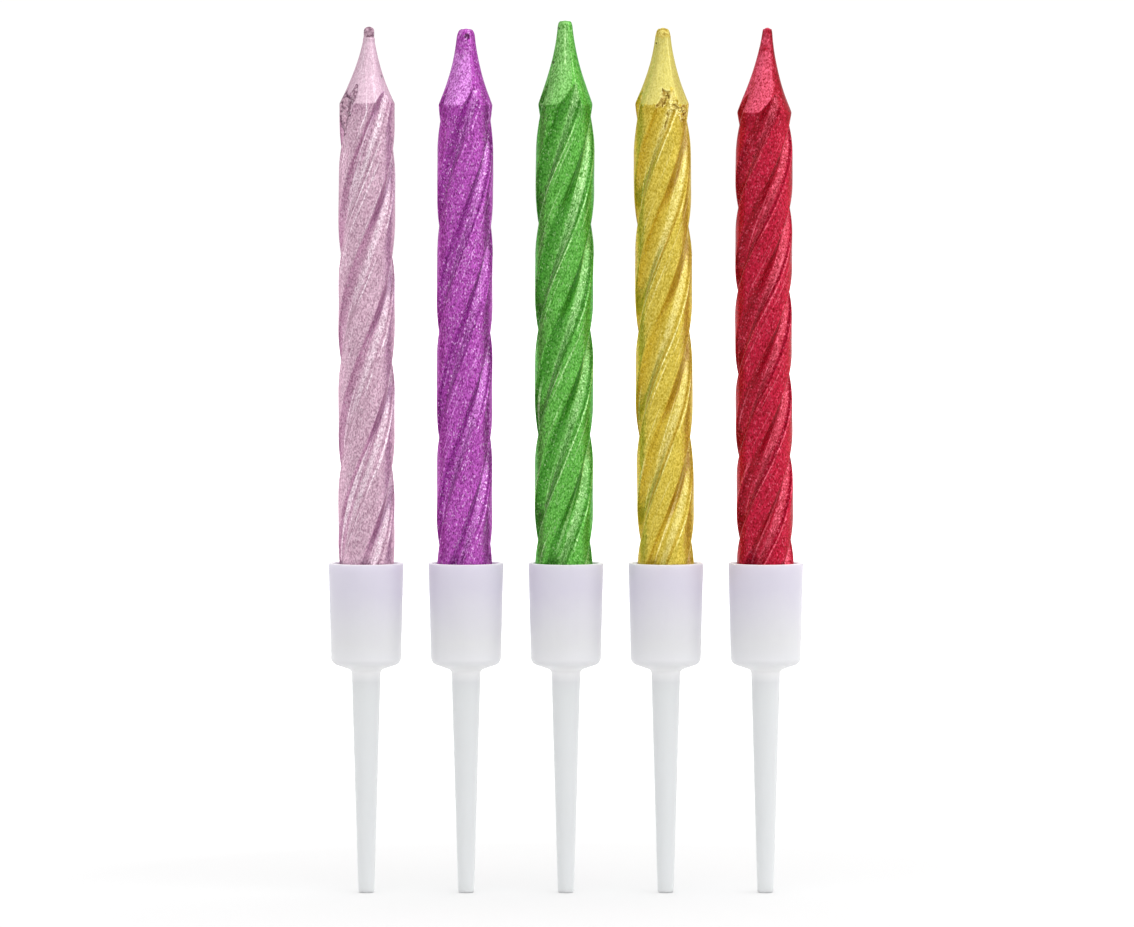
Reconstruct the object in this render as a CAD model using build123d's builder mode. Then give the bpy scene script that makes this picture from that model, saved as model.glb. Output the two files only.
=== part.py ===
"""Five spiral birthday candles, each standing in its own cup holder with a pick.

Millimetres, +Z up. The candles stand in a row along X and are seen from -Y.
The origin is on the middle pick, where it leaves the cup: the level of the icing.
"""

import os
from math import cos, radians, sin

from build123d import *

# The row
spacing = 10.0

# Sizes that differ from candle to candle, from left to right:
# radius over the lands, lead of the twist, height above the rim where a flute faces straight ahead,
# height above the rim of the top of the wax, height of the cone from its widest circle,
# wax round the wick at the blunt top, and the wick's end above the wax
candles = {
    "pink": dict(radius=2.86, lead=42.4, flute=10.4, reach=52.1, cone=6.8, coat=0.12, stub=1.6),
    "purple": dict(radius=2.82, lead=42.4, flute=2.85, reach=53.1, cone=8.0, coat=0.42, stub=0.4),
    "green": dict(radius=2.96, lead=42.4, flute=2.65, reach=53.9, cone=8.6, coat=0.34, stub=0.4),
    "gold": dict(radius=2.89, lead=42.1, flute=3.05, reach=53.2, cone=8.1, coat=0.26, stub=0.4),
    "red": dict(radius=2.88, lead=33.1, flute=2.85, reach=53.3, cone=8.9, coat=0.12, stub=0.3),
}

# Flutes: each one falls over a soft edge into a valley,
# then climbs a long slope to the sharp lip of the next land
flute_count = 4
flute_angle = 45.0
fall_angle = 13.0
flute_depth = 0.68
lip_height = 0.14
edge_round = 0.5
valley_round = 0.7

# Cone: a hollow curve that starts a little outside the lands
cone_margin = 0.4
cone_hollow = 0.4
top_round = 0.25

# Wick: a round cord in a snug hole
wick_radius = 0.5
wick_clearance = 0.02
wick_round = 0.35

# Holder: a tapered cup on a tapered pick
socket_clearance = 0.1
socket_draft = 0.08
socket_depth = 8.4
cup_wall = 0.63
cup_height = 10.9
cup_taper = 0.25
underside_rise = 1.1
corner_round = 0.8
rim_round = 0.2
pick_length = 22.2
pick_root_radius = 1.45
pick_tip_radius = 0.8
pick_root_round = 0.3
pick_tip_round = 0.2

# Sizes that follow: every cup takes the thickest candle
rim = cup_height
socket_floor = rim - socket_depth
socket_floor_radius = max(size["radius"] for size in candles.values()) + socket_clearance
socket_mouth_radius = socket_floor_radius + socket_draft
cup_rim_radius = socket_mouth_radius + cup_wall
cup_foot_radius = cup_rim_radius - cup_taper


def polar(radius, angle):
    """A point of a cross-section, with the angle in degrees."""
    return (radius * cos(radians(angle)), radius * sin(radians(angle)))


def corners(section, radius, angles):
    """The corners of a cross-section at these polar places."""
    return [section.vertices().sort_by_distance(polar(radius, angle))[0] for angle in angles]


def upright(x):
    """The plane of a half outline that is turned about a candle's axis."""
    return Plane(origin=(x, 0, 0), x_dir=(1, 0, 0), z_dir=(0, -1, 0))


def level(x, height, turn=0.0):
    """A level plane on a candle's axis, turned about it in degrees."""
    return Plane(origin=(x, 0, height), x_dir=(*polar(1, turn), 0), z_dir=(0, 0, 1))


def finish(piece, name):
    """Name a finished piece and write it."""
    piece.part.label = name
    export_step(piece.part, f"parts/{name}.step")


def make_holder(name, x):
    """A cup with a blind socket and a pick, turned in one piece."""
    with BuildPart() as holder:
        with BuildSketch(upright(x)):
            with BuildLine():
                Polyline(
                    (0, -pick_length),
                    (pick_tip_radius, -pick_length),
                    (pick_root_radius, 0),
                    (cup_foot_radius, underside_rise),
                    (cup_rim_radius, rim),
                    (socket_mouth_radius, rim),
                    (socket_floor_radius, socket_floor),
                    (0, socket_floor),
                    close=True,
                )
            make_face()
        revolve(axis=Axis((x, 0, 0), (0, 0, 1)))
        rings = holder.edges().filter_by(GeomType.CIRCLE).group_by(Axis.Z)
        tip_ring, root_ring, foot_ring, rim_rings = rings[0], rings[1], rings[2], rings[-1]
        fillet(foot_ring, corner_round)
        fillet(root_ring, pick_root_round)
        fillet(tip_ring, pick_tip_round)
        fillet(rim_rings, rim_round)
    finish(holder, f"{name}_holder")


def make_wax(name, x, size):
    """A fluted rod twisted along its length, drawn to a blunt cone and pierced for the wick."""
    radius = size["radius"]
    top = rim + size["reach"]
    length = top - socket_floor
    top_radius = wick_radius + size["coat"]
    start_turn = -360 * (size["flute"] + socket_depth) / size["lead"]
    step_angle = 360 / flute_count
    soft_edges = [flute * step_angle - flute_angle / 2 for flute in range(flute_count)]
    valleys = [edge + fall_angle for edge in soft_edges]
    axis = Axis((x, 0, 0), (0, 0, 1))

    with BuildLine() as core:
        Line((x, 0, socket_floor), (x, 0, top))
    with BuildLine() as twist:
        Helix(size["lead"], length, radius, center=(x, 0, socket_floor))

    with BuildPart() as wax:
        with BuildSketch(level(x, socket_floor, start_turn)) as section:
            with BuildLine():
                for soft_edge in soft_edges:
                    lip = soft_edge + flute_angle
                    Polyline(
                        polar(radius, soft_edge),
                        polar(radius - flute_depth, soft_edge + fall_angle),
                        polar(radius - lip_height, lip),
                        polar(radius, lip),
                    )
                    CenterArc((0, 0), radius, lip, step_angle - flute_angle)
            make_face()
            fillet(corners(section, radius - flute_depth, valleys), valley_round)
            fillet(corners(section, radius, soft_edges), edge_round)
        sweep(path=core.line, binormal=twist.line.edge())
        with BuildSketch(upright(x)) as outline:
            with BuildLine():
                base = (radius + cone_margin, top - size["cone"])
                Polyline((top_radius, top), (0, top), (0, socket_floor), (base[0], socket_floor), base)
                SagittaArc(base, (top_radius, top), cone_hollow)
            make_face()
            fillet(outline.vertices().group_by(Axis.Y)[-1].sort_by(Axis.X)[-1], top_round)
        revolve(axis=axis, mode=Mode.INTERSECT)
        with BuildSketch(level(x, socket_floor)):
            Circle(wick_radius + wick_clearance)
        extrude(amount=length, mode=Mode.SUBTRACT)
    finish(wax, f"{name}_wax")


def make_wick(name, x, size):
    """A cotton cord from the foot of the candle to just above its top."""
    with BuildPart() as wick:
        with BuildSketch(level(x, socket_floor)):
            Circle(wick_radius)
        extrude(amount=socket_depth + size["reach"] + size["stub"])
        fillet(wick.edges().filter_by(GeomType.CIRCLE).sort_by(Axis.Z)[-1], wick_round)
    finish(wick, f"{name}_wick")


os.makedirs("parts", exist_ok=True)
for place, (colour, sizes) in enumerate(candles.items()):
    offset_x = (place - (len(candles) - 1) / 2) * spacing
    make_holder(colour, offset_x)
    make_wax(colour, offset_x, sizes)
    make_wick(colour, offset_x, sizes)
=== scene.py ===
"""Five spiral birthday candles in cup holders with picks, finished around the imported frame.

Metres, +Z up. The candles stand in a row along X and are seen from -Y.
"""

from math import atan2, cos, degrees, hypot, pi, radians, sin, sqrt
from types import SimpleNamespace

import bpy
from mathutils import Matrix, Vector, noise


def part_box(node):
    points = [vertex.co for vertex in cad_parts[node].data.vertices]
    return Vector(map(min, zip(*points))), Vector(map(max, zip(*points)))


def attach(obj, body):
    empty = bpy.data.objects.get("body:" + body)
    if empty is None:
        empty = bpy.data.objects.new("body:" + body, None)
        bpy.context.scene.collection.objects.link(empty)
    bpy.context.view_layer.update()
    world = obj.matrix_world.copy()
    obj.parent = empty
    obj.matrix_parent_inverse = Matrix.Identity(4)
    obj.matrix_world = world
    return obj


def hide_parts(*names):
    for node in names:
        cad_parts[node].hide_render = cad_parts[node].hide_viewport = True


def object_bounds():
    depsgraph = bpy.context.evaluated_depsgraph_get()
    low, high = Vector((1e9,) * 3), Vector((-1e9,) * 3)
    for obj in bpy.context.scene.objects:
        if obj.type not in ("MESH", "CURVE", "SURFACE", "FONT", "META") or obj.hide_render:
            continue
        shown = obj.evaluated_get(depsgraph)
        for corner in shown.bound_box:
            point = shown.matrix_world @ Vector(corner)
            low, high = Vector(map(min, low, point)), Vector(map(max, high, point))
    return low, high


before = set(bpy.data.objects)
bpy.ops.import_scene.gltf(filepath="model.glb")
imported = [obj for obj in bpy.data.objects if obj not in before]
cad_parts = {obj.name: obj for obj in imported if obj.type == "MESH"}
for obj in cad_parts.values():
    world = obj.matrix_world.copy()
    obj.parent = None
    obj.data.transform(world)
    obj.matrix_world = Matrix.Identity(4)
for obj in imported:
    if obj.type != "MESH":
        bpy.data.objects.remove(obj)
cad_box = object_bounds()

mm = 0.001

# How near points lie that are merged, and how near a ring that is looked for
merge_distance = 0.001 * mm
level_slack = 0.01 * mm
radius_slack = 0.02 * mm

# Sharpest angles that are still shaded smooth, in degrees
wax_smooth = 40
wick_smooth = 50
holder_smooth = 35

# What differs from candle to candle, with lengths in millimetres and angles in degrees:
# lead: lead of the twist
# flute: height above the rim where a flute faces straight ahead
# valley, fall: depth of a flute, and the angle from its middle where its wall starts to fall
# shade_end, lip_shade: the angle where the shade in a flute ends, and how deep it is under the lip
# bead: how strong the painted highlight on the bead of the lip is
# cone, hollow: height of the cone, and how hollow its outline is
# run_out: how far up the cone the trace of a flute runs out
# pale_side, pale_loss: bearing where the cone's painted light ends on the right, and how much ends above
# darkened, raggedness: how dark the painted shade is where that light ends, and how ragged its border is
# line: bearing of a painted highlight along a ridge of the cone, on the candle that has one
# tip, dome: radius of the blunt tip, and height of its dome
# climb, wick_end: how far the wax climbs the end of the wick, and that end's thickness beside the rest
# bend: how far the candle stands off its axis along X, at the rim, half way, the shoulder and the tip
candles = {
    "pink": dict(lead=42.4, flute=9.85, valley=0.55, fall=-23.0, shade_end=16.0, lip_shade=0.3, bead=1.0,
                 cone=7.05, hollow=0.48, run_out=0.3, pale_side=60.0, pale_loss=0.0, darkened=0.0, raggedness=0.5,
                 tip=0.6, dome=0.3, climb=0.4, wick_end=1.07, bend=(0.05, 0.08, 0.17, 0.37)),
    "purple": dict(lead=42.4, flute=2.4, valley=0.75, fall=-18.0, shade_end=20.0, lip_shade=0.8, bead=0.5,
                   cone=8.41, hollow=0.71, run_out=0.6, pale_side=8.0, pale_loss=1.06, darkened=0.5, raggedness=0.6,
                   tip=0.86, dome=0.8, climb=0.2, wick_end=1.0, bend=(-0.14, -0.12, -0.02, 0.04)),
    "green": dict(lead=42.4, flute=2.2, valley=0.9, fall=-28.0, shade_end=6.0, lip_shade=1.0, bead=0.9,
                  cone=9.16, hollow=0.7, run_out=0.6, pale_side=10.0, pale_loss=0.43, darkened=0.1, raggedness=0.4,
                  line=0.0,
                  tip=0.72, dome=0.6, climb=0.2, wick_end=1.0, bend=(-0.2, -0.18, -0.05, -0.08)),
    "gold": dict(lead=42.1, flute=2.3, valley=0.7, fall=-28.0, shade_end=6.0, lip_shade=0.6, bead=1.0,
                 cone=8.35, hollow=0.76, run_out=0.3, pale_side=90.0, pale_loss=0.0, darkened=0.0, raggedness=2.0,
                 tip=0.72, dome=0.7, climb=0.15, wick_end=0.9, bend=(0.0, -0.22, -0.4, -0.31)),
    "red": dict(lead=33.1, flute=2.7, valley=0.85, fall=-25.0, shade_end=4.0, lip_shade=0.7, bead=0.75,
                cone=9.29, hollow=0.64, run_out=0.8, pale_side=16.0, pale_loss=1.0, darkened=0.6, raggedness=0.5,
                tip=0.47, dome=0.5, climb=0.05, wick_end=0.8, bend=(-0.06, -0.26, -0.2, 0.1)),
}
bend_heights = (0.0, 23.0, 46.0, 54.0)

# Marks of handling: bearing from straight ahead in degrees, height above the rim in millimetres, and the
# half sizes of the mark in degrees and millimetres; a fold in the coat has the bearing and height of its two
# ends and its half width in millimetres, and lies among finer crumples
scuffs = {
    "pink": [(-64.0, 44.8, 24.0, 2.3), (-33.0, 46.9, 9.0, 1.1)],
    "gold": [(0.0, 53.7, 400.0, 1.2)],
}
pits = {
    "pink": [(66.0, 48.6, 9.0, 0.2)],
    "purple": [(8.0, 52.6, 26.0, 0.34)],
    "green": [(-62.0, 53.4, 22.0, 0.18), (-66.0, 50.0, 16.0, 0.22)],
    "gold": [(-57.0, 51.9, 14.0, 0.14)],
    "red": [(22.0, 13.9, 3.5, 0.15)],
}
folds = {
    "gold": [
        (2.0, 47.3, 7.0, 47.0, 0.17), (5.0, 46.9, 3.0, 46.3, 0.22), (8.0, 46.8, 6.0, 46.0, 0.12),
        (1.0, 46.3, -4.0, 46.0, 0.17), (-4.0, 46.0, -11.0, 45.7, 0.12), (5.0, 46.0, 0.0, 45.6, 0.1),
        (15.0, 47.1, 19.0, 46.7, 0.12), (19.0, 46.7, 17.0, 46.4, 0.12), (26.0, 45.7, 38.0, 45.4, 0.13),
        (46.0, 45.5, 52.0, 44.8, 0.17), (18.0, 45.2, 4.0, 43.3, 0.1), (-62.0, 47.0, -70.0, 46.2, 0.16),
    ],
}
crumples = {
    "gold": [(4.0, 46.4, 14.0, 1.1), (24.0, 45.7, 16.0, 0.9), (46.0, 45.0, 22.0, 1.2)],
}
scuff_dent = 0.02 * mm
fold_depth = 0.1 * mm
fold_raise = 0.05 * mm
pit_depth = 0.12 * mm

# How a fold wavers: by how much, over how many degrees and what height, and degrees for each millimetre
waver = 0.22
waver_run = 9.0
waver_rise = 0.5 * mm
waver_turn = 20.0

# Flute: a soft fall, a hollow valley and a creased lip, as angles from the flute's middle in degrees
flute_count = 4
flute_step = 360 / flute_count
fall_run = 7.0
valley_angle = 4.0
crease_start = 19.5
crease_angle = 22.0
lip_crest = 30.0
lip_height = 0.14 * mm
crease_depth = 0.04 * mm
fold_lip = 0.4
fold_crease = 0.9
slope_bow = 0.9
crest_power = 2.5
twist_wobble = 1.6
lip_wander = 2.4
lip_band = (0.0, 14.0, 34.0, 44.0)
# Where the painted highlight on the lip's bead lies, and how wide it is
bead_angle = crease_angle + 3.6
bead_width = 1.7
# Width of the painted shade line at the foot of a flute's wall
valley_shade_width = 2.4
# Strength of the painted light on the flute's slope
slope_highlight = 0.38

# Slow changes along a candle: their step from flute to flute, their place in the noise and their length
drifts = {
    "fold": (5.0, 1.5, 7.0 * mm),
    "wander": (7.0, 4.5, 5.0 * mm),
    "uneven_highlight": (3.0, 8.5, 2.2 * mm),
    "split": (9.0, 6.5, 6.0 * mm),
}
wobble_place = (4.0, 2.0)
wobble_length = 14.0 * mm

# What the wax's mesh tells its lacquer about a place: painted shade in a flute or under the cone's shoulder,
# painted shade under a lip or at the foot of a flute's wall, a painted highlight on a lip or slope, on
# the cone and where its painted light lies, in a scuff, in a fold, among crumples or in a pit
wax_layers = ("painted_shade", "crease", "edge", "cone", "scuff", "fold", "crumple", "pit")

# Wax mesh
row_height = 0.3 * mm
ring_slack = row_height / 50
cone_row_cuts = 3
coat_shrink = 0.03 * mm
shoulder_taper = 0.08 * mm
shoulder_run = 4.0 * mm
cone_margin = 0.4 * mm
cone_edge = 0.4 * mm
shoulder_blend = 0.025 * mm
flute_memory = 0.2
bore_clearance = 0.01 * mm
tip_margin = 0.01 * mm
tip_lift = 0.02 * mm
tip_bore_depth = 3.0 * mm

# Relief of the dipped coat, and its painted shade and highlight
lump_height = 0.035 * mm
lump_size = 3.5 * mm
streak_height = 0.012 * mm
streak_width = 0.35 * mm
streak_length = 5.0 * mm
relief_fade = 1.5 * mm
rim_fade = 2.5 * mm
line_width = 0.12 * mm

# Wick, with the heights below and above the wax's top where its end swells, its lay is filled and the
# lacquer starts
wick_lobes = 3
wick_lead = 3.2 * mm
wick_lobe_depth = 0.04 * mm
wick_points = 30
wick_row_height = 0.2 * mm
wick_end_rows = 2.5
wick_row_cuts = 4
wick_trim = 0.12 * mm
wick_end_round = 0.47 * mm
wick_end_share = 0.94
swell_below = 2.5 * mm
swell_above = 0.3 * mm
fill_below = 0.4 * mm
dip_below = 0.6 * mm
dip_full_below = 0.2 * mm

# Holder, from the frame's own box where it gives the size
cup_wall = 0.63 * mm
cup_taper = 0.25 * mm
socket_depth = 8.4 * mm
socket_draft = 0.08 * mm
underside_rise = 0.85 * mm
corner_round = 0.55 * mm
rim_round = 0.07 * mm
mouth_round = 0.22 * mm
pick_root_height = 0.15 * mm
pick_root_radius = 1.47 * mm
pick_tip_radius = 0.8 * mm
pick_root_round = 0.3 * mm
pick_tip_round = 0.2 * mm
turned_sides = 96

# Patterns in the finishes, as how many go to a metre, and how far some are drawn out along the candle
flake_scale = 9000.0
grain_scale = 7600.0
patch_scale = 420.0
rag_scale = 1500.0
streak_scale = 3600.0
scratch_scale = 3000.0
scuff_scale = 3400.0
crumb_scale = 1500.0
fibre_scale = 9000.0
dip_scale = 3800.0
cloud_scale = 260.0
plastic_grain_scale = 5200.0
flake_draw = 0.6
streak_draw = 0.07
scratch_draw = 0.03
flake_tilt = 0.22

# Camera and light
image_width = 1134
pixel_size = 0.1 * mm
image_centre = Vector((0.11 * mm, 0.0, 20.85 * mm))
camera_distance = 0.8
camera_elevation = 2.7
sensor_width = 36.0
lamp_aim = Vector((0.0, 0.0, 0.03))
softboxes = {
    "overhead_softbox": dict(place=(0.1, -0.15, 0.7), width=1.6, depth=1.4, brightness=0.33),
    "side_softbox": dict(place=(0.8, -0.35, 0.3), width=0.7, depth=0.9, brightness=0.46),
}
room_glow = 0.82
dome_gain = 0.45
left_wall = 0.75

# Floor: its size and paper, the distances from the candles over which its own glow grows to full, the
# depths over which that glow comes into reflections, and the glow beside the candles, in reflections and
# as it is seen
floor_size = 6.0
floor_paper = (0.68, 0.68, 0.68, 1)
floor_glow_run = (0.05, 0.4)
floor_mirror_start = (-0.12, -0.04)
floor_glow = 0.42
floor_seen_glow = 0.14


def paint(red, green, blue):
    """A colour given in 0 to 255 steps, as the linear colour a shader takes."""
    channels = [channel / 255 for channel in (red, green, blue)]
    linear = [((c + 0.055) / 1.055) ** 2.4 if c > 0.04045 else c / 12.92 for c in channels]
    return (*linear, 1.0)


# Lacquer of each candle: on the lands, painted shade in the flutes, a painted highlight on the lips and
# slopes (also the tone of pale scratches), painted light on the cone, painted shade deep in the creases, and
# painted glints on the flakes that catch the light; then how far the flakes vary in red, green and blue, how
# much calmer they lie on the cone, and how many catch the light
lacquers = {
    "pink": dict(land=paint(198, 162, 181), painted_shade=paint(174, 127, 155), edge=paint(250, 234, 243),
                 cone=paint(203, 173, 189), deep=paint(136, 84, 116), glint=paint(250, 240, 246),
                 vary=(0.4, 0.5, 0.44), calm=0.6, catch=0.5),
    "purple": dict(land=paint(168, 75, 168), painted_shade=paint(147, 56, 147), edge=paint(218, 148, 222),
                   cone=paint(187, 113, 190), deep=paint(92, 22, 98), glint=paint(244, 190, 248),
                   vary=(0.56, 0.84, 0.58), calm=0.0, catch=1.3),
    "green": dict(land=paint(93, 168, 67), painted_shade=paint(60, 130, 38), edge=paint(188, 232, 160),
                  cone=paint(113, 173, 90), deep=paint(28, 84, 14), glint=paint(200, 244, 172),
                  vary=(0.7, 0.5, 0.84), calm=0.0, catch=0.7),
    "gold": dict(land=paint(205, 182, 71), painted_shade=paint(185, 156, 42), edge=paint(250, 242, 168),
                 cone=paint(199, 188, 102), deep=paint(156, 100, 8), glint=paint(252, 240, 140),
                 vary=(0.3, 0.36, 0.8), calm=0.6, catch=0.4),
    "red": dict(land=paint(173, 25, 51), painted_shade=paint(140, 14, 30), edge=paint(226, 104, 122),
                cone=paint(196, 71, 94), deep=paint(96, 2, 16), glint=paint(246, 108, 134),
                vary=(0.46, 0.9, 0.85), calm=0.0, catch=1.0),
}
# Outline, deep and thin tones inside a scuff
scuff_tones = {
    "pink": (paint(112, 82, 100), paint(136, 104, 122), paint(190, 154, 172)),
    "gold": (paint(196, 176, 84), paint(172, 148, 62), paint(212, 196, 106)),
}
# Painted shade in the folds and crumples, and a painted highlight on their brims
fold_shade = paint(148, 116, 30)
fold_highlight = paint(250, 242, 164)
pitted = paint(62, 44, 50)
# Soaked and thin tones of a wick's end that took on another colour than its candle
nub_tones = {
    "pink": (paint(112, 80, 96), paint(190, 158, 174)),
    "gold": (paint(172, 148, 62), paint(212, 196, 106)),
}
cotton = paint(226, 218, 200)
plastic_lower = paint(226, 226, 229)
# Painted light round the underside and the pick's root, and a painted highlight along the rim
plastic_under_light = paint(244, 244, 245)
plastic_rim_highlight = paint(240, 238, 246)
plastic_upper = paint(214, 210, 224)
plastic_pick = paint(222, 224, 225)


# Curves

def spread(start, stop, count):
    """Evenly spaced values from start up to, and not with, stop."""
    return [start + (stop - start) * step / count for step in range(count)]


def ease(value, low, high):
    """0 below low, 1 above high, and a soft rise between them."""
    share = min(max((value - low) / (high - low), 0.0), 1.0)
    return share * share * (3 - 2 * share)


def band(value, low, low_full, high_full, high):
    """1 from low_full to high_full, falling softly to 0 at low and at high."""
    return ease(value, low, low_full) * ease(-value, -high, -high_full)


def peak(offset, width):
    """1 where there is no offset, falling softly to 0 at this width on both sides."""
    return ease(-abs(offset), -width, 0.0)


def round_off(near):
    """How far a rounded end draws in: 0 where the rounding starts and 1 at its top."""
    return 1 - sqrt(max(1 - near * near, 0.0))


def soft_least(first, second, width):
    """The smaller of two values, with the corner between them rounded."""
    near = max(width - abs(first - second), 0.0) / width
    return min(first, second) - near * near * width / 4


# Mesh helpers

def start_piece():
    """Leave edit mode with nothing selected."""
    if bpy.context.mode != "OBJECT":
        bpy.ops.object.mode_set(mode="OBJECT")
    bpy.ops.object.select_all(action="DESELECT")


def choose(piece, kind, test):
    """Select the vertices, edges or faces of a piece that pass a test, and stay in edit mode."""
    bpy.ops.object.mode_set(mode="EDIT")
    bpy.ops.mesh.select_mode(type=kind)
    bpy.ops.mesh.select_all(action="DESELECT")
    bpy.ops.object.mode_set(mode="OBJECT")
    mesh = piece.data
    parts = {"VERT": mesh.vertices, "EDGE": mesh.edges, "FACE": mesh.polygons}[kind]
    for part in parts:
        part.select = test(part)
    bpy.ops.object.mode_set(mode="EDIT")


def place_chosen(piece, radius, height=None):
    """Bring the chosen points to a radius round Z, and to a height where one is given; stay in edit mode."""
    bpy.ops.object.mode_set(mode="OBJECT")
    for vertex in piece.data.vertices:
        if vertex.select:
            scale = radius / hypot(vertex.co.x, vertex.co.y)
            level = vertex.co.z if height is None else height
            vertex.co = (vertex.co.x * scale, vertex.co.y * scale, level)
    bpy.ops.object.mode_set(mode="EDIT")


def screw_up(piece, height, lead, row):
    """Twist a flat ring up into a rod of this height and lead, in rows of about this height."""
    twist = piece.modifiers.new("twist", "SCREW")
    twist.axis = "Z"
    twist.angle = 2 * pi * height / lead
    twist.screw_offset = height
    twist.steps = round(height / row)
    twist.render_steps = twist.steps
    bpy.ops.object.modifier_apply(modifier=twist.name)


def cut_rows(piece, above, row, cuts):
    """Cut the rows of a twisted rod above a height into finer ones."""
    points = piece.data.vertices

    def climbs(edge):
        first, last = (points[index].co.z for index in edge.vertices)
        return min(first, last) > above and abs(first - last) > row / 2

    choose(piece, "EDGE", climbs)
    bpy.ops.mesh.subdivide(number_cuts=cuts)
    bpy.ops.object.mode_set(mode="OBJECT")


def enclosed_volume(mesh):
    """The volume inside a closed mesh, negative where its faces point inwards."""
    mesh.calc_loop_triangles()
    points = mesh.vertices
    total = 0.0
    for triangle in mesh.loop_triangles:
        first, second, third = (points[index].co for index in triangle.vertices)
        total += first.dot(second.cross(third)) / 6
    return total


def settle_piece(piece, name, angle):
    """Merge doubles, turn the faces outwards, smooth them, and put the piece's place into its mesh."""
    bpy.ops.object.mode_set(mode="EDIT")
    bpy.ops.mesh.select_all(action="SELECT")
    bpy.ops.mesh.remove_doubles(threshold=merge_distance)
    bpy.ops.mesh.normals_make_consistent(inside=False)
    bpy.ops.object.mode_set(mode="OBJECT")
    if enclosed_volume(piece.data) < 0:
        bpy.ops.object.mode_set(mode="EDIT")
        bpy.ops.mesh.flip_normals()
        bpy.ops.object.mode_set(mode="OBJECT")
    bpy.ops.object.transform_apply(location=True, rotation=True, scale=True)
    bpy.ops.object.shade_smooth_by_angle(angle=radians(angle))
    piece.name = name
    piece.data.name = name


# Wax

def wax_size(colour, traits):
    """The places and sizes of one candle's wax, from the frame and its traits."""
    low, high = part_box(f"{colour}_wax")
    wick_low, wick_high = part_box(f"{colour}_wick")
    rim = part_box(f"{colour}_holder")[1].z
    axis = (low.x + high.x) / 2
    bore = (wick_high.x - wick_low.x) / 2 + bore_clearance
    shoulder = high.z - traits["cone"] * mm - low.z
    return SimpleNamespace(
        foot=low.z,
        top=high.z,
        rim=rim,
        axis=axis,
        radius=(high.x - low.x) / 2 - coat_shrink,
        length=high.z + traits["climb"] * mm - low.z,
        shoulder=shoulder,
        shoulder_turn=turn_at(traits, low.z + shoulder - rim),
        bore=bore,
        tip_bore=bore * traits["wick_end"],
        seed=Vector((axis / mm, 7.0, 3.0)),
    )


def turn_at(traits, above_rim):
    """How far the flutes have turned at a height above the rim, in degrees."""
    return 360 * (above_rim - traits["flute"] * mm) / (traits["lead"] * mm)


def flute_profile(angle, traits, fold=0.0):
    """How far the wax lies below the lands at an angle from a flute's middle; fold deepens the lip."""
    fall_start = traits["fall"]
    fall_end = fall_start + fall_run
    valley_depth = traits["valley"] * mm
    hollow_run = valley_angle - fall_end
    curve = valley_depth / (hollow_run * (fall_run + hollow_run))
    lip = lip_height * (1 + fold_lip * fold)
    crease = crease_depth * (1 + fold_crease * fold)
    if angle <= fall_start or angle >= lip_crest:
        return 0.0
    if angle <= fall_end:
        return curve * hollow_run / fall_run * (angle - fall_start) ** 2
    if angle <= valley_angle:
        return valley_depth - curve * (angle - valley_angle) ** 2
    if angle < crease_angle:
        climb = (angle - valley_angle) / (crease_angle - valley_angle)
        bow = 1 + slope_bow - slope_bow * climb
        slope = valley_depth - (valley_depth - lip) * climb * climb * bow
        return slope + crease * ease(angle, crease_start, crease_angle)
    rest = (lip_crest - angle) / (lip_crest - crease_angle)
    return (lip + crease) * rest ** crest_power


def flute_angles(fall_start):
    """The angles of one flute and its land that carry the points of the section."""
    land_end = flute_step / 2
    fall_end = fall_start + fall_run
    return [
        *spread(-land_end, fall_start, 5),
        *spread(fall_start, fall_end, 6),
        *spread(fall_end, crease_start, 12),
        crease_start,
        crease_angle - 1.2,
        crease_angle,
        *[crease_angle + step for step in (0.5, 1.2, 2.2, 3.6, 5.6)],
        *spread(lip_crest, land_end, 4),
    ]


def drift(kind, flute, height, seed):
    """A slow change along one flute, from about -1 to 1."""
    step, place, length = drifts[kind]
    return noise.noise(Vector((flute * step, place, height / length)) + seed)


def mark_at(marks, bearing, height):
    """How far inside a mark a place lies: 1 in the middle of one, 0 on its border and -1 far away."""
    inside = -1.0
    for mark_bearing, mark_height, half_angle, half_height in marks:
        off_angle = (bearing - mark_bearing + 180) % 360 - 180
        away = hypot(off_angle / half_angle, (height / mm - mark_height) / half_height)
        inside = max(inside, 1 - away)
    return inside


def fold_at(strokes, bearing, height, radius):
    """How near a place lies to the line of a fold: 1 on it, 0 at its half width and less beyond."""
    nearest = -9.0
    for first_bearing, first_height, last_bearing, last_height, half_width in strokes:
        start = Vector((radians(first_bearing) * radius / mm, first_height))
        run = Vector((radians(last_bearing) * radius / mm, last_height)) - start
        spot = Vector((radians((bearing + 180) % 360 - 180) * radius / mm, height / mm)) - start
        share = min(max(spot.dot(run) / run.length_squared, 0.0), 1.0)
        nearest = max(nearest, 1 - (spot - share * run).length / half_width)
    return nearest


def bend_at(traits, height):
    """How far a candle's own line stands off its axis along X, at a height above the rim in metres."""
    heights = (-socket_depth / mm, *bend_heights)
    offsets = (0.0, *traits["bend"])
    level = height / mm
    for index in range(len(heights) - 1):
        if level <= heights[index + 1] or index == len(heights) - 2:
            share = (level - heights[index]) / (heights[index + 1] - heights[index])
            share = min(max(share, 0.0), 1.0)
            return mm * (offsets[index] + (offsets[index + 1] - offsets[index]) * ease(share, 0, 1))


def cone_radius(traits, radius, below_top):
    """The radius of the drawn-out end of a rod of this radius, at a depth below the CAD wax's top."""
    tip = traits["tip"] * mm
    share = max(below_top / (traits["cone"] * mm), 0.0)
    base = radius + cone_margin
    return tip + (base - tip) * ((1 - traits["hollow"]) * share + traits["hollow"] * share * share)


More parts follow.
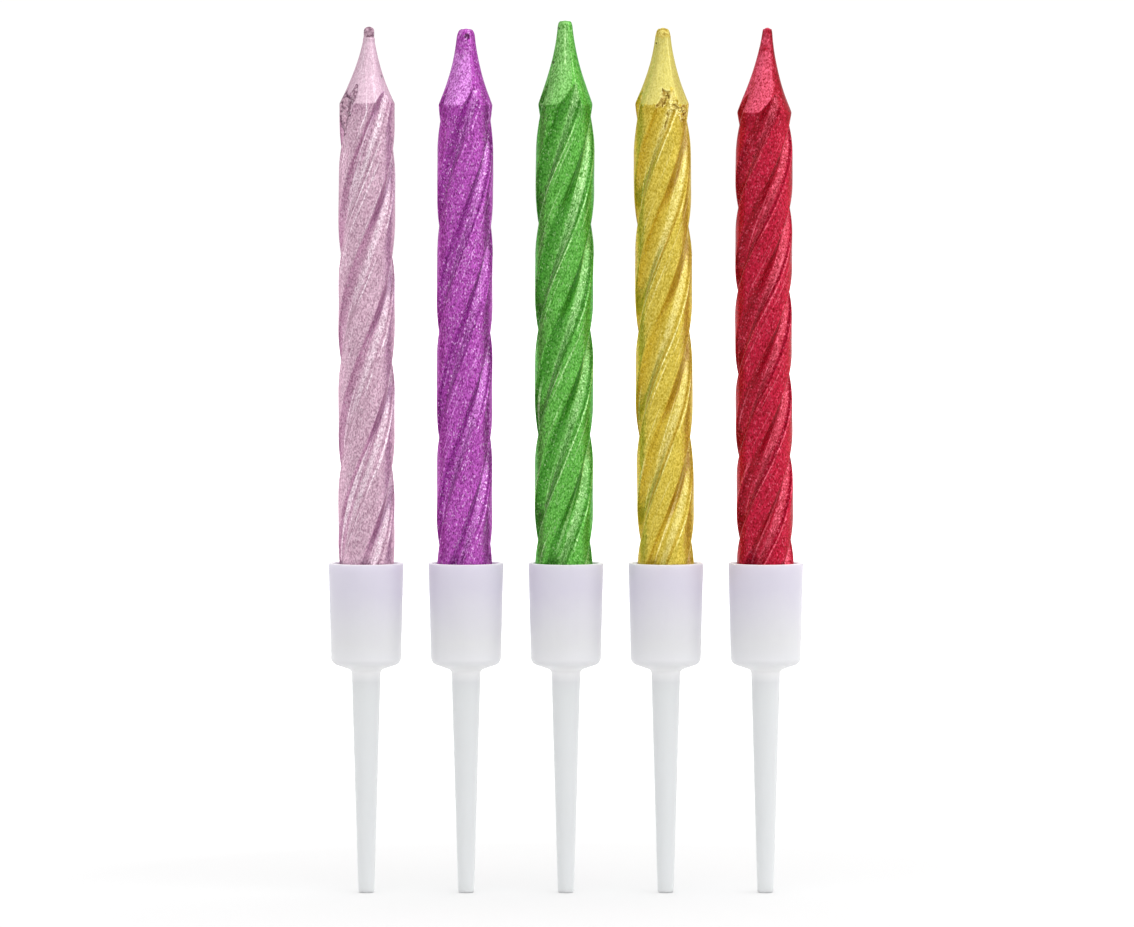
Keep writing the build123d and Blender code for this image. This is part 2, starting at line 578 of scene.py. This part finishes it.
def find_spot(point, size, traits):
    """Where a point of the twisted rod lies: its height, its angle in its flute and its bearing."""
    x, y, height = point
    above_rim = size.foot + height - size.rim
    turn = turn_at(traits, above_rim)
    bearing = degrees(atan2(y, x)) - turn
    angle = (bearing + flute_step / 2) % flute_step - flute_step / 2
    flute = round((bearing - angle) / flute_step) % flute_count
    wobble = noise.noise(Vector((*wobble_place, height / wobble_length)) + size.seed)
    wander = drift("wander", flute, height, size.seed)
    turned = bearing + turn + twist_wobble * wobble + lip_wander * wander * band(angle, *lip_band)
    lay = radians(bearing + max(turn - size.shoulder_turn, 0.0))
    return SimpleNamespace(
        start=Vector((x, y, height)),
        along=Vector((size.radius * cos(lay), size.radius * sin(lay), height)),
        height=height,
        above_rim=above_rim,
        below_end=size.length - height,
        angle=angle,
        turned=turned,
        facing=turned + 90,
        fold=drift("fold", flute, height, size.seed),
        uneven_highlight=drift("uneven_highlight", flute, height, size.seed),
        split=drift("split", flute, height, size.seed),
    )


def draw_out(spot, size, traits):
    """Work out a spot's radius on the fluted rod and on its cone, and how far into the cone it lies."""
    depth = flute_profile(spot.angle, traits, spot.fold)
    tapered = shoulder_taper * ease(spot.height, size.shoulder - shoulder_run, size.shoulder)
    reach = size.radius - depth - tapered
    below_top = size.top - size.foot - spot.height
    limit = cone_radius(traits, size.radius, below_top)
    spot.below_shoulder = (limit - size.radius) / mm
    spot.rise = 1 - below_top / (traits["cone"] * mm)
    kept = 1 - ease(spot.rise, 0.0, traits["run_out"])
    limit -= flute_memory * kept * depth * min(limit / size.radius, 1.0)
    dome = traits["dome"] * mm
    if spot.below_end < dome:
        limit -= (traits["tip"] * mm - size.tip_bore - tip_margin) * round_off(1 - spot.below_end / dome)
    spot.over = (reach - limit) / cone_edge
    spot.coned = ease(spot.over, -0.1, 0.2)
    spot.drawn = soft_least(reach, limit, shoulder_blend)


def roughen(spot, colour, size):
    """Give a spot's radius the relief of the dipped coat and the marks of handling."""
    lump = noise.noise(spot.start / lump_size + size.seed)
    along = spot.along
    streak_place = Vector((along.x / streak_width, along.y / streak_width, along.z / streak_length))
    streak = noise.noise(streak_place + size.seed)
    wavered = waver * noise.noise(Vector((spot.facing / waver_run, spot.height / waver_rise, 5.0)))
    spot.scuff = mark_at(scuffs.get(colour, []), spot.facing, spot.above_rim)
    spot.crumple = mark_at(crumples.get(colour, []), spot.facing, spot.above_rim)
    spot.pit = mark_at(pits.get(colour, []), spot.facing, spot.above_rim)
    spot.folded = fold_at(folds.get(colour, []), spot.facing + waver_turn * wavered,
                          spot.above_rim + wavered * mm, spot.drawn)
    brim = fold_raise * ease(spot.folded, -1.6, -0.2)
    groove = (fold_depth + fold_raise) * ease(spot.folded, -0.2, 0.5)
    fade = ease(spot.below_end, 0.0, relief_fade)
    spot.drawn += fade * (lump_height * lump + streak_height * streak)
    spot.drawn -= scuff_dent * ease(spot.scuff, 0.0, 0.3)
    spot.drawn += brim - groove
    spot.drawn -= pit_depth * ease(spot.pit, 0.0, 0.6)


def coat_layers(spot, traits):
    """What the lacquer is told about a spot, by the names of the wax layers."""
    angle = spot.angle
    fall_end = traits["fall"] + fall_run
    deepest = fall_end - 1.0
    # Where shade is painted on the flute's wall
    wall = band(angle, traits["fall"], deepest, deepest, traits["shade_end"])
    # Where light is painted on the flute's slope
    slope = band(angle, valley_angle - 5.0, valley_angle + 5.0, crease_start - 5.0, crease_start)
    # Where shade is painted under the lip's crease
    crease = band(angle, crease_start - 2.0, crease_angle - 0.8, crease_angle + 0.3, crease_angle + 2.0)
    # Where a highlight is painted on the lip's bead
    bead = peak(angle - bead_angle, bead_width)
    # A painted shade line along the foot of the flute's wall, broken up along the flute
    valley_shade = peak(angle - fall_end, valley_shade_width) * ease(spot.split, -0.15, 0.35)
    under_lip = crease * traits["lip_shade"] * min(max(0.65 + spot.fold, 0.0), 1.0)
    # Painted shade under the cone's shoulder, and half as much painted shade at the rim
    under_shoulder = ease(-spot.below_shoulder, -0.9, -0.1)
    near_rim = 0.5 + 0.5 * ease(spot.above_rim, 0.0, rim_fade)
    # The cone's painted light ends towards the right and higher up, and painted shade takes its place
    right = band(spot.facing, traits["pale_side"], traits["pale_side"] + 20.0, 120.0, 180.0)
    lost = max(1.3 * right, traits["pale_loss"] * ease(spot.rise, 0.45, 0.8))
    body = 1 - spot.coned
    # The shade painted on the flute's wall and under the shoulder
    flute_shade = body * near_rim * max(wall, 0.5 * under_shoulder)
    # The painted highlight on the bead, uneven along the flute, and the painted light on the slope
    painted_highlight = body * max(traits["bead"] * bead * ease(spot.uneven_highlight, -0.45, 0.2), slope_highlight * slope)
    # A painted highlight along a ridge of the cone
    if "line" in traits:
        off_line = radians(spot.facing - traits["line"]) * spot.drawn
        line = peak(off_line, line_width) * ease(spot.rise, 0.4, 0.6) * ease(spot.uneven_highlight, -0.4, 0.2)
        painted_highlight = max(painted_highlight, line)
    return {
        "painted_shade": max(flute_shade, spot.coned * traits["darkened"] * min(lost, 1.0)),
        "crease": body * max(under_lip, 0.5 * valley_shade),
        "edge": painted_highlight,
        "cone": min(max(spot.over, -1.0), 1.0) - lost,
        "scuff": spot.scuff,
        "fold": spot.folded,
        "crumple": spot.crumple,
        "pit": spot.pit,
    }


def close_wax(rod, size):
    """Close the tip round the wick, carry the bore down to the foot, and close the foot."""
    points = rod.data.vertices
    top_ring = max(vertex.co.z for vertex in points) - ring_slack
    choose(rod, "VERT", lambda vertex: vertex.co.z > top_ring)
    to_foot = tip_bore_depth - tip_lift - size.length
    for radius, lift in ((size.tip_bore, tip_lift), (size.bore, -tip_bore_depth), (size.bore, to_foot)):
        bpy.ops.mesh.extrude_edges_move(TRANSFORM_OT_translate={"value": (0, 0, lift)})
        place_chosen(rod, radius)
    choose(rod, "EDGE", lambda edge: max(points[index].co.z for index in edge.vertices) < ring_slack)
    bpy.ops.mesh.bridge_edge_loops()
    bpy.ops.object.mode_set(mode="OBJECT")


def store_layers(mesh, layers, straight):
    """Write the coat's layers and its untwisted places on the mesh; the bore's points repeat the last."""
    extra = len(mesh.vertices) - len(straight)
    for name, values in layers.items():
        layer = mesh.attributes.new(name, "FLOAT", "POINT")
        layer.data.foreach_set("value", values + [values[-1]] * extra)
    layer = mesh.attributes.new("straight", "FLOAT_VECTOR", "POINT")
    flat = [part for place in straight for part in place]
    layer.data.foreach_set("vector", flat + [0.0] * (3 * extra))


def make_wax(colour, traits, finish):
    """A fluted ring twisted up into a rod, drawn to a blunt cone and bored for the wick."""
    size = wax_size(colour, traits)
    start_turn = turn_at(traits, size.foot - size.rim)
    angles = flute_angles(traits["fall"])
    section = [(flute_step * flute + angle, angle) for flute in range(flute_count) for angle in angles]

    start_piece()
    bpy.ops.mesh.primitive_circle_add(vertices=len(section), radius=size.radius,
                                      location=(size.axis, 0, size.foot))
    rod = bpy.context.object
    for vertex, (bearing, angle) in zip(rod.data.vertices, section):
        reach = size.radius - flute_profile(angle, traits)
        turned = radians(bearing + start_turn)
        vertex.co = (reach * cos(turned), reach * sin(turned), 0)
    screw_up(rod, size.length, traits["lead"] * mm, row_height)
    cut_rows(rod, size.shoulder - row_height, row_height, cone_row_cuts)

    layers = {name: [] for name in wax_layers}
    straight = []
    for vertex in rod.data.vertices:
        spot = find_spot(vertex.co, size, traits)
        draw_out(spot, size, traits)
        roughen(spot, colour, size)
        turned = radians(spot.turned)
        vertex.co = (spot.drawn * cos(turned), spot.drawn * sin(turned), spot.height)
        straight.append(spot.along)
        for name, value in coat_layers(spot, traits).items():
            layers[name].append(value)

    close_wax(rod, size)
    store_layers(rod.data, layers, straight)
    for vertex in rod.data.vertices:
        vertex.co.x += bend_at(traits, size.foot + vertex.co.z - size.rim)
    settle_piece(rod, f"{colour}_wax_twist", wax_smooth)
    rod.data.materials.append(finish)
    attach(rod, f"{colour}_candle")
    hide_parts(f"{colour}_wax")


# Wick

def make_wick(colour, traits, finish):
    """A three-ply cord through the wax, with a rounded end that took some lacquer."""
    low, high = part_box(f"{colour}_wick")
    wax_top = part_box(f"{colour}_wax")[1].z
    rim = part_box(f"{colour}_holder")[1].z
    axis = (low.x + high.x) / 2
    radius = (high.x - low.x) / 2
    end_radius = radius * traits["wick_end"]
    top = high.z - wick_trim
    length = top - low.z

    start_piece()
    bpy.ops.mesh.primitive_circle_add(vertices=wick_points, radius=radius, location=(axis, 0, low.z))
    cord = bpy.context.object
    for vertex in cord.data.vertices:
        bearing = atan2(vertex.co.y, vertex.co.x)
        reach = radius - wick_lobe_depth * (1 - cos(wick_lobes * bearing))
        vertex.co = (reach * cos(bearing), reach * sin(bearing), 0)
    screw_up(cord, length, wick_lead, wick_row_height)
    cut_rows(cord, length - wick_end_rows * wick_row_height, wick_row_height, wick_row_cuts)
    points = cord.data.vertices
    for end in (0.0, length):
        choose(cord, "EDGE", lambda edge: all(abs(points[i].co.z - end) < level_slack for i in edge.vertices))
        bpy.ops.mesh.edge_face_add()
    bpy.ops.object.mode_set(mode="OBJECT")

    # Fill out the lay where the lacquer covers it, size the end and round it
    for vertex in cord.data.vertices:
        height = low.z + vertex.co.z
        reach = hypot(vertex.co.x, vertex.co.y)
        below_end = top - height
        full = radius + (end_radius - radius) * ease(height, wax_top - swell_below, wax_top + swell_above)
        filled = reach + (radius - reach) * ease(height, wax_top - fill_below, wax_top)
        wanted = filled * full / radius
        if below_end < wick_end_round:
            wanted -= wick_end_share * wanted * round_off(1 - below_end / wick_end_round)
        grow = wanted / reach
        vertex.co = (vertex.co.x * grow + bend_at(traits, height - rim), vertex.co.y * grow, vertex.co.z)
    settle_piece(cord, f"{colour}_wick_cord", wick_smooth)
    cord.data.materials.append(finish)
    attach(cord, f"{colour}_candle")
    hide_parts(f"{colour}_wick")


# Holder

def make_holder_pattern(low, high):
    """The cup and pick on the Z axis, worked from a cylinder by extrusions and bevels."""
    rim_radius = (high.x - low.x) / 2
    foot_radius = rim_radius - cup_taper
    mouth_radius = rim_radius - cup_wall
    floor_radius = mouth_radius - socket_draft
    rim = high.z
    start_piece()
    bpy.ops.mesh.primitive_cylinder_add(vertices=turned_sides, radius=foot_radius,
                                        depth=rim - underside_rise,
                                        location=(0, 0, (rim + underside_rise) / 2))
    holder = bpy.context.object
    bpy.ops.object.transform_apply(location=True)

    def work_end(facing, steps):
        """Work the end face that faces up or down through rings of (radius, height)."""
        choose(holder, "FACE", lambda face: face.normal.z * facing > 0.9)
        for first, (radius, height) in enumerate(steps):
            if first:
                bpy.ops.mesh.extrude_region_move()
            place_chosen(holder, radius, height)
        bpy.ops.object.mode_set(mode="OBJECT")

    def round_ring(radius, height, amount, segments):
        """Round the ring of edges at this radius and height."""
        points = holder.data.vertices

        def on_ring(edge):
            ends = [points[index].co for index in edge.vertices]
            level = all(abs(end.z - height) < level_slack for end in ends)
            return level and all(abs(hypot(end.x, end.y) - radius) < radius_slack for end in ends)

        choose(holder, "EDGE", on_ring)
        bpy.ops.mesh.bevel(offset=amount, segments=segments, affect="EDGES")
        bpy.ops.object.mode_set(mode="OBJECT")

    work_end(1, [(rim_radius, rim), (mouth_radius, rim), (floor_radius, rim - socket_depth)])
    work_end(-1, [(foot_radius, underside_rise), (pick_root_radius, pick_root_height),
                  (pick_tip_radius, low.z)])
    round_ring(foot_radius, underside_rise, corner_round, 8)
    round_ring(pick_root_radius, pick_root_height, pick_root_round, 4)
    round_ring(pick_tip_radius, low.z, pick_tip_round, 5)
    round_ring(rim_radius, rim, rim_round, 5)
    round_ring(mouth_radius, rim, mouth_round, 5)
    settle_piece(holder, "holder_pattern", holder_smooth)
    return holder


def make_holders(finish):
    """One moulding, copied under every candle with its own mesh."""
    pattern = make_holder_pattern(*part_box("green_holder"))
    pattern.data.materials.append(finish)
    for colour in candles:
        low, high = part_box(f"{colour}_holder")
        holder = pattern.copy()
        holder.data = pattern.data.copy()
        holder.data.transform(Matrix.Translation(((low.x + high.x) / 2, 0, 0)))
        holder.name = f"{colour}_holder_cup"
        holder.data.name = holder.name
        bpy.context.collection.objects.link(holder)
        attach(holder, "holders")
        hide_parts(f"{colour}_holder")
    bpy.data.objects.remove(pattern)


# Node helpers

def add_node(tree, kind, inputs=None, **settings):
    """Add a node with its settings; each input is a value or another node's output."""
    node = tree.nodes.new(f"ShaderNode{kind}")
    for name, value in settings.items():
        setattr(node, name, value)
    for key, value in (inputs or {}).items():
        feed(tree, node.inputs[key], value)
    return node


def feed(tree, socket, value):
    """Set a socket to a value, or link another node's output to it."""
    if isinstance(value, bpy.types.NodeSocket):
        tree.links.new(value, socket)
    else:
        socket.default_value = value


def new_finish(name):
    """An empty material with its surface shader."""
    material = bpy.data.materials.new(name)
    material.use_nodes = True
    tree = material.node_tree
    return material, tree, tree.nodes["Principled BSDF"]


def finish_surface(tree, shader, sockets):
    """Feed the named sockets of a surface shader."""
    for name, value in sockets.items():
        feed(tree, shader.inputs[name], value)


def mix_colour(tree, share, first, second, blend="MIX"):
    """A colour between two others, or one laid over the other."""
    mixed = add_node(tree, "Mix", {0: share, 6: first, 7: second}, data_type="RGBA", blend_type=blend)
    return mixed.outputs[2]


def mix_value(tree, share, first, second):
    """A value between two others."""
    return add_node(tree, "Mix", {0: share, 2: first, 3: second}).outputs[0]


def ramp(tree, value, low, high, start=0.0, stop=1.0):
    """A value carried from one range into another, clamped."""
    return add_node(tree, "MapRange", {0: value, 1: low, 2: high, 3: start, 4: stop}).outputs[0]


def reckon(tree, operation, *values):
    """The outcome of one sum on values or outputs."""
    return add_node(tree, "Math", dict(enumerate(values)), operation=operation).outputs[0]


def reckon_vector(tree, operation, *values):
    """The outcome of one sum on vectors."""
    return add_node(tree, "VectorMath", dict(enumerate(values)), operation=operation).outputs[0]


def multiply(tree, first, *others):
    """The product of values or outputs."""
    for other in others:
        first = reckon(tree, "MULTIPLY", first, other)
    return first


def object_place(tree):
    """The place on a piece, in its own frame."""
    return add_node(tree, "TexCoord").outputs["Object"]


def attribute(tree, name, output):
    """What a piece's mesh tells its finish under this name."""
    return add_node(tree, "Attribute", attribute_name=name).outputs[output]


def drawn_out(tree, place, share):
    """A place whose patterns are drawn out along Z; a smaller share draws them longer."""
    return add_node(tree, "Mapping", {"Vector": place, "Scale": (1.0, 1.0, share)}).outputs[0]


def cloudy(tree, place, scale, detail):
    """A cloudy pattern, from 0 to 1."""
    return add_node(tree, "TexNoise", {"Vector": place, "Scale": scale, "Detail": detail}).outputs["Fac"]


def bumps(tree, height, strength, distance):
    """A normal that follows a pattern of heights."""
    return add_node(tree, "Bump", {"Height": height, "Strength": strength, "Distance": distance}).outputs[0]


# Finishes

def coat_tone(tree, colour, layer, rag, painted_cone_light, scratch):
    """The coat's colour on the lands, painted shade in the flutes and creases, painted light on the cone,
    and a painted highlight on the lips and slopes in the pale tone that the scratches also take.
    """
    tones = lacquers[colour]
    tone = mix_colour(tree, layer["painted_shade"], tones["land"], tones["painted_shade"])
    tone = mix_colour(tree, painted_cone_light, tone, tones["cone"])
    uneven_highlight = multiply(tree, layer["edge"], ramp(tree, rag, 0.35, 0.65, 0.7, 1.0))
    tone = mix_colour(tree, uneven_highlight, tone, tones["edge"])
    tone = mix_colour(tree, ramp(tree, scratch, 0.64, 0.74, 0.0, 0.55), tone, tones["edge"])
    return mix_colour(tree, ramp(tree, layer["crease"], 0.0, 0.6, 0.0, 0.5), tone, tones["deep"])


def scuffed(tree, colour, tone, layer, rag, place):
    """A tone with the candle's scuffs on it: a torn outline round a mottled patch."""
    outline, deep, thin = scuff_tones[colour]
    inner = mix_colour(tree, ramp(tree, cloudy(tree, place, scuff_scale, 2.0), 0.42, 0.56), deep, thin)
    torn = reckon(tree, "MULTIPLY_ADD", rag, 0.9, layer["scuff"])
    tone = mix_colour(tree, ramp(tree, torn, 0.42, 0.48), tone, outline)
    return mix_colour(tree, ramp(tree, torn, 0.56, 0.62), tone, inner)


def wrinkled(tree, tone, layer, rag, place):
    """A tone with folds among finer crumples: painted shade in each, and a painted highlight on its brim."""
    crumb = cloudy(tree, place, crumb_scale, 1.0)
    valley = reckon(tree, "COMPARE", crumb, 0.5, 0.028)
    brim = reckon(tree, "COMPARE", crumb, 0.57, 0.04)
    within = ramp(tree, layer["crumple"], 0.0, 0.5)
    broken = ramp(tree, rag, 0.4, 0.56, 0.25, 0.95)
    tone = mix_colour(tree, multiply(tree, brim, within, 0.6), tone, fold_highlight)
    tone = mix_colour(tree, ramp(tree, layer["fold"], -1.2, -0.3, 0.0, 0.3), tone, fold_highlight)
    tone = mix_colour(tree, multiply(tree, valley, within, broken), tone, fold_shade)
    return mix_colour(tree, multiply(tree, ramp(tree, layer["fold"], -0.3, 0.4), broken), tone, fold_shade)


def make_lacquer(colour):
    """Metallic lacquer: fine flakes in a thin coat, with painted shade in the flutes and painted highlights
    on the lips.
    """
    tones = lacquers[colour]
    material, tree, shader = new_finish(f"{colour}_flake_lacquer")
    place = object_place(tree)
    straight = attribute(tree, "straight", "Vector")
    layer = {name: attribute(tree, name, "Fac") for name in wax_layers}
    flake_place = drawn_out(tree, place, flake_draw)
    flake = add_node(tree, "TexVoronoi", {"Vector": flake_place, "Scale": flake_scale}).outputs["Color"]
    shade, caught, gloss = add_node(tree, "SeparateColor", {0: flake}).outputs
    grain = cloudy(tree, flake_place, grain_scale, 0.0)
    patch = cloudy(tree, place, patch_scale, 4.0)
    rag = cloudy(tree, place, rag_scale, 4.0)
    streak = cloudy(tree, drawn_out(tree, straight, streak_draw), streak_scale, 3.0)
    scratch = cloudy(tree, drawn_out(tree, straight, scratch_draw), scratch_scale, 1.0)

    # The coat with its painted light and shade, and its marks
    raggedness = candles[colour]["raggedness"]
    # Where light is painted on the cone, within a ragged border
    ragged = reckon(tree, "MULTIPLY_ADD", rag, raggedness, layer["cone"])
    painted_cone_light = ramp(tree, ragged, 0.5 * raggedness - 0.05, 0.5 * raggedness + 0.09)
    tone = coat_tone(tree, colour, layer, rag, painted_cone_light, scratch)
    if colour in scuffs:
        tone = scuffed(tree, colour, tone, layer, rag, place)
    if colour in folds:
        tone = wrinkled(tree, tone, layer, rag, place)
    if colour in pits:
        tone = mix_colour(tree, ramp(tree, layer["pit"], 0.05, 0.4, 0.0, 0.7), tone, pitted)

    # The flakes: darker and lighter ones, calmer on the cone, and painted glints on a few that catch
    # the light, more of them where highlights are painted on the lips and slopes
    shine = mix_value(tree, 0.5, ramp(tree, grain, 0.36, 0.64), shade)
    shine = mix_value(tree, multiply(tree, painted_cone_light, tones["calm"]), shine, 0.5)
    dull = (*[1 - part for part in tones["vary"]], 1)
    lively = (*[1 + part for part in tones["vary"]], 1)
    tone = mix_colour(tree, 1.0, tone, mix_colour(tree, shine, dull, lively), "MULTIPLY")
    patchy = ramp(tree, patch, 0.3, 0.7, 0.96, 1.04)
    streaky = ramp(tree, streak, 0.3, 0.7, 0.92, 1.08)
    strength = multiply(tree, patchy, streaky)
    tone = add_node(tree, "VectorMath", {0: tone, "Scale": strength}, operation="SCALE").outputs[0]
    caught = ramp(tree, caught, 0.78, 1.0)
    lit = ramp(tree, layer["edge"], 0.0, slope_highlight, 0.5 * tones["catch"], 1.9 * tones["catch"])
    tone = mix_colour(tree, multiply(tree, caught, caught, lit), tone, tones["glint"])

    # The surface: streaks, tilted flakes, and less gloss and metal where shade is painted in the creases,
    # and in the pits
    bump = bumps(tree, streak, 0.25, 0.03 * mm)
    tilt = reckon_vector(tree, "SUBTRACT", flake, (0.5, 0.5, 0.5))
    tilted = reckon_vector(tree, "MULTIPLY_ADD", tilt, (flake_tilt, flake_tilt, flake_tilt), bump)
    darkened = reckon(tree, "MAXIMUM", layer["crease"], layer["pit"])
    finish_surface(tree, shader, {
        "Base Color": tone,
        "Normal": reckon_vector(tree, "NORMALIZE", tilted),
        "Roughness": ramp(tree, gloss, 0.0, 1.0, 0.3, 0.4),
        "Coat Weight": ramp(tree, darkened, 0.0, 0.35, 0.4, 0.02),
        "Metallic": ramp(tree, darkened, 0.0, 0.35, 0.6, 0.1),
        "Specular IOR Level": 0.0,
        "Specular Tint": tones["land"],
        "Coat IOR": 1.28,
        "Coat Roughness": 0.16,
        "Sheen Weight": 0.05,
        "Sheen Roughness": 0.3,
    })
    return material


def make_wick_finish(colour):
    """Cotton cord whose end is dipped in the candle's lacquer."""
    material, tree, shader = new_finish(f"{colour}_dipped_cotton")
    wax_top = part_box(f"{colour}_wax")[1].z
    place = object_place(tree)
    height = add_node(tree, "SeparateXYZ", {0: place}).outputs[2]
    dipped = ramp(tree, height, wax_top - dip_below, wax_top - dip_full_below)
    soaked, thin = nub_tones.get(colour, (lacquers[colour]["land"], lacquers[colour]["cone"]))
    dip = mix_colour(tree, ramp(tree, cloudy(tree, place, dip_scale, 3.0), 0.38, 0.6), soaked, thin)
    finish_surface(tree, shader, {
        "Base Color": mix_colour(tree, dipped, cotton, dip),
        "Normal": bumps(tree, cloudy(tree, place, fibre_scale, 3.0), 0.4, 0.05 * mm),
        "Metallic": ramp(tree, dipped, 0.0, 1.0, 0.0, 0.8),
        "Roughness": ramp(tree, dipped, 0.0, 1.0, 0.9, 0.4),
    })
    return material


def make_plastic():
    """Milky moulded plastic with a lilac cast on the upper cup, painted light round the underside and the
    pick's root, and a painted highlight along the rim.
    """
    material, tree, shader = new_finish("milky_holder_plastic")
    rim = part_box("green_holder")[1].z
    place = object_place(tree)
    height = add_node(tree, "SeparateXYZ", {0: place}).outputs[2]
    cloud = cloudy(tree, place, cloud_scale, 3.0)
    grain = cloudy(tree, place, plastic_grain_scale, 2.0)
    uneven_height = reckon(tree, "MULTIPLY_ADD", cloud, 3.0 * mm, height)
    cup_share = ramp(tree, uneven_height, -0.5 * mm, 3.0 * mm)
    lilac_share = ramp(tree, uneven_height, rim - 6.5 * mm, rim - 1.0 * mm)
    # A lighter band painted round the underside and the pick's root, painted light against the shade there
    under_from = ramp(tree, height, -1.0 * mm, 0.0)
    under_to = ramp(tree, height, 0.2 * mm, 1.0 * mm, 1.0, 0.0)
    # A painted highlight along the top of the rim
    rim_highlight_share = ramp(tree, height, rim - 0.07 * mm, rim - 0.01 * mm)
    tone = mix_colour(tree, cup_share, plastic_pick, plastic_lower)
    tone = mix_colour(tree, multiply(tree, under_from, under_to), tone, plastic_under_light)
    tone = mix_colour(tree, lilac_share, tone, plastic_upper)
    finish_surface(tree, shader, {
        "Base Color": mix_colour(tree, rim_highlight_share, tone, plastic_rim_highlight),
        "Normal": bumps(tree, grain, 0.12, 0.03 * mm),
        "Roughness": ramp(tree, cloud, 0.3, 0.7, 0.4, 0.5),
        "Subsurface Weight": 0.7,
        "Subsurface Radius": (1.0, 1.0, 1.0),
        "Subsurface Scale": 1.2 * mm,
        "Sheen Weight": 0.1,
        "Sheen Roughness": 0.4,
    })
    return material


# Stage

def seen_plainly(tree):
    """1 for the rays that show the white room itself: to the camera, in gloss and through clear things."""
    paths = add_node(tree, "LightPath")
    seen = paths.outputs["Is Camera Ray"]
    for name in ("Is Glossy Ray", "Is Transmission Ray"):
        seen = reckon(tree, "MAXIMUM", seen, paths.outputs[name])
    return seen


def make_floor():
    """A plain white floor under the pick tips, which keeps the soft shadow and fades into the room."""
    start_piece()
    bpy.ops.mesh.primitive_plane_add(size=floor_size, location=(0, 0, cad_box[0].z))
    floor = bpy.context.object
    floor.name = "studio_floor"
    material, tree, shader = new_finish("white_paper")
    tree.nodes.remove(shader)
    place = object_place(tree)
    away = add_node(tree, "VectorMath", {0: place}, operation="LENGTH").outputs["Value"]
    back = ramp(tree, add_node(tree, "SeparateXYZ", {0: place}).outputs[1], *floor_mirror_start)
    watched = add_node(tree, "LightPath").outputs["Is Camera Ray"]
    glowing = reckon(tree, "MAXIMUM", back, watched)
    near_glow = ramp(tree, watched, 0.0, 1.0, floor_glow, floor_seen_glow)
    glow_strength = multiply(tree, glowing, ramp(tree, away, *floor_glow_run, near_glow, 1.0))
    paper = add_node(tree, "BsdfDiffuse", {"Color": floor_paper}).outputs[0]
    glow = add_node(tree, "Emission", {"Color": (1, 1, 1, 1), "Strength": glow_strength}).outputs[0]
    lit = add_node(tree, "AddShader", {0: paper, 1: glow}).outputs[0]
    chosen = add_node(tree, "MixShader", {0: seen_plainly(tree), 1: paper, 2: lit}).outputs[0]
    tree.links.new(chosen, tree.nodes["Material Output"].inputs["Surface"])
    floor.data.materials.append(material)


def make_softbox(name, place, width, depth, brightness):
    """A soft lamp aimed at the candles; brightness is what a mirror would show of it."""
    lamp = bpy.data.lights.new(name, "AREA")
    lamp.shape = "RECTANGLE"
    lamp.size = width
    lamp.size_y = depth
    lamp.energy = brightness * pi * width * depth
    stand = bpy.data.objects.new(name, lamp)
    stand.location = place
    stand.rotation_mode = "QUATERNION"
    stand.rotation_quaternion = (lamp_aim - Vector(place)).to_track_quat("-Z", "Y")
    bpy.context.collection.objects.link(stand)


def make_light():
    """A white room that brightens overhead, with a wide soft lamp above and a smaller one on the right."""
    world = bpy.data.worlds.new("white_room")
    bpy.context.scene.world = world
    world.use_nodes = True
    tree = world.node_tree
    background = tree.nodes["Background"]
    background.inputs["Color"].default_value = (1, 1, 1, 1)
    way = add_node(tree, "TexCoord").outputs["Generated"]
    sideways, _, upwards = add_node(tree, "SeparateXYZ", {0: way}).outputs
    overhead = ramp(tree, upwards, -0.05, 0.5, 1.0, 1.0 + dome_gain)
    leftward = ramp(tree, sideways, -0.9, -0.2, left_wall, 1.0)
    level = ramp(tree, seen_plainly(tree), 0.0, 1.0, room_glow, 1.0)
    tree.links.new(multiply(tree, overhead, leftward, level), background.inputs["Strength"])
    for name, lamp in softboxes.items():
        make_softbox(name, **lamp)


def make_camera():
    """A long lens a little above the rims, framed as the photograph is."""
    data = bpy.data.cameras.new("front_camera")
    data.sensor_width = sensor_width
    data.lens = sensor_width * camera_distance / (image_width * pixel_size)
    camera = bpy.data.objects.new("front_camera", data)
    rise = radians(camera_elevation)
    camera.location = image_centre + camera_distance * Vector((0, -cos(rise), sin(rise)))
    camera.rotation_euler = (pi / 2 - rise, 0, 0)
    bpy.context.collection.objects.link(camera)
    bpy.context.scene.camera = camera


scene = bpy.context.scene
scene.view_settings.view_transform = "Standard"
make_camera()
make_light()
make_floor()
make_holders(make_plastic())
for colour, traits in candles.items():
    make_wax(colour, traits, make_lacquer(colour))
    make_wick(colour, traits, make_wick_finish(colour))
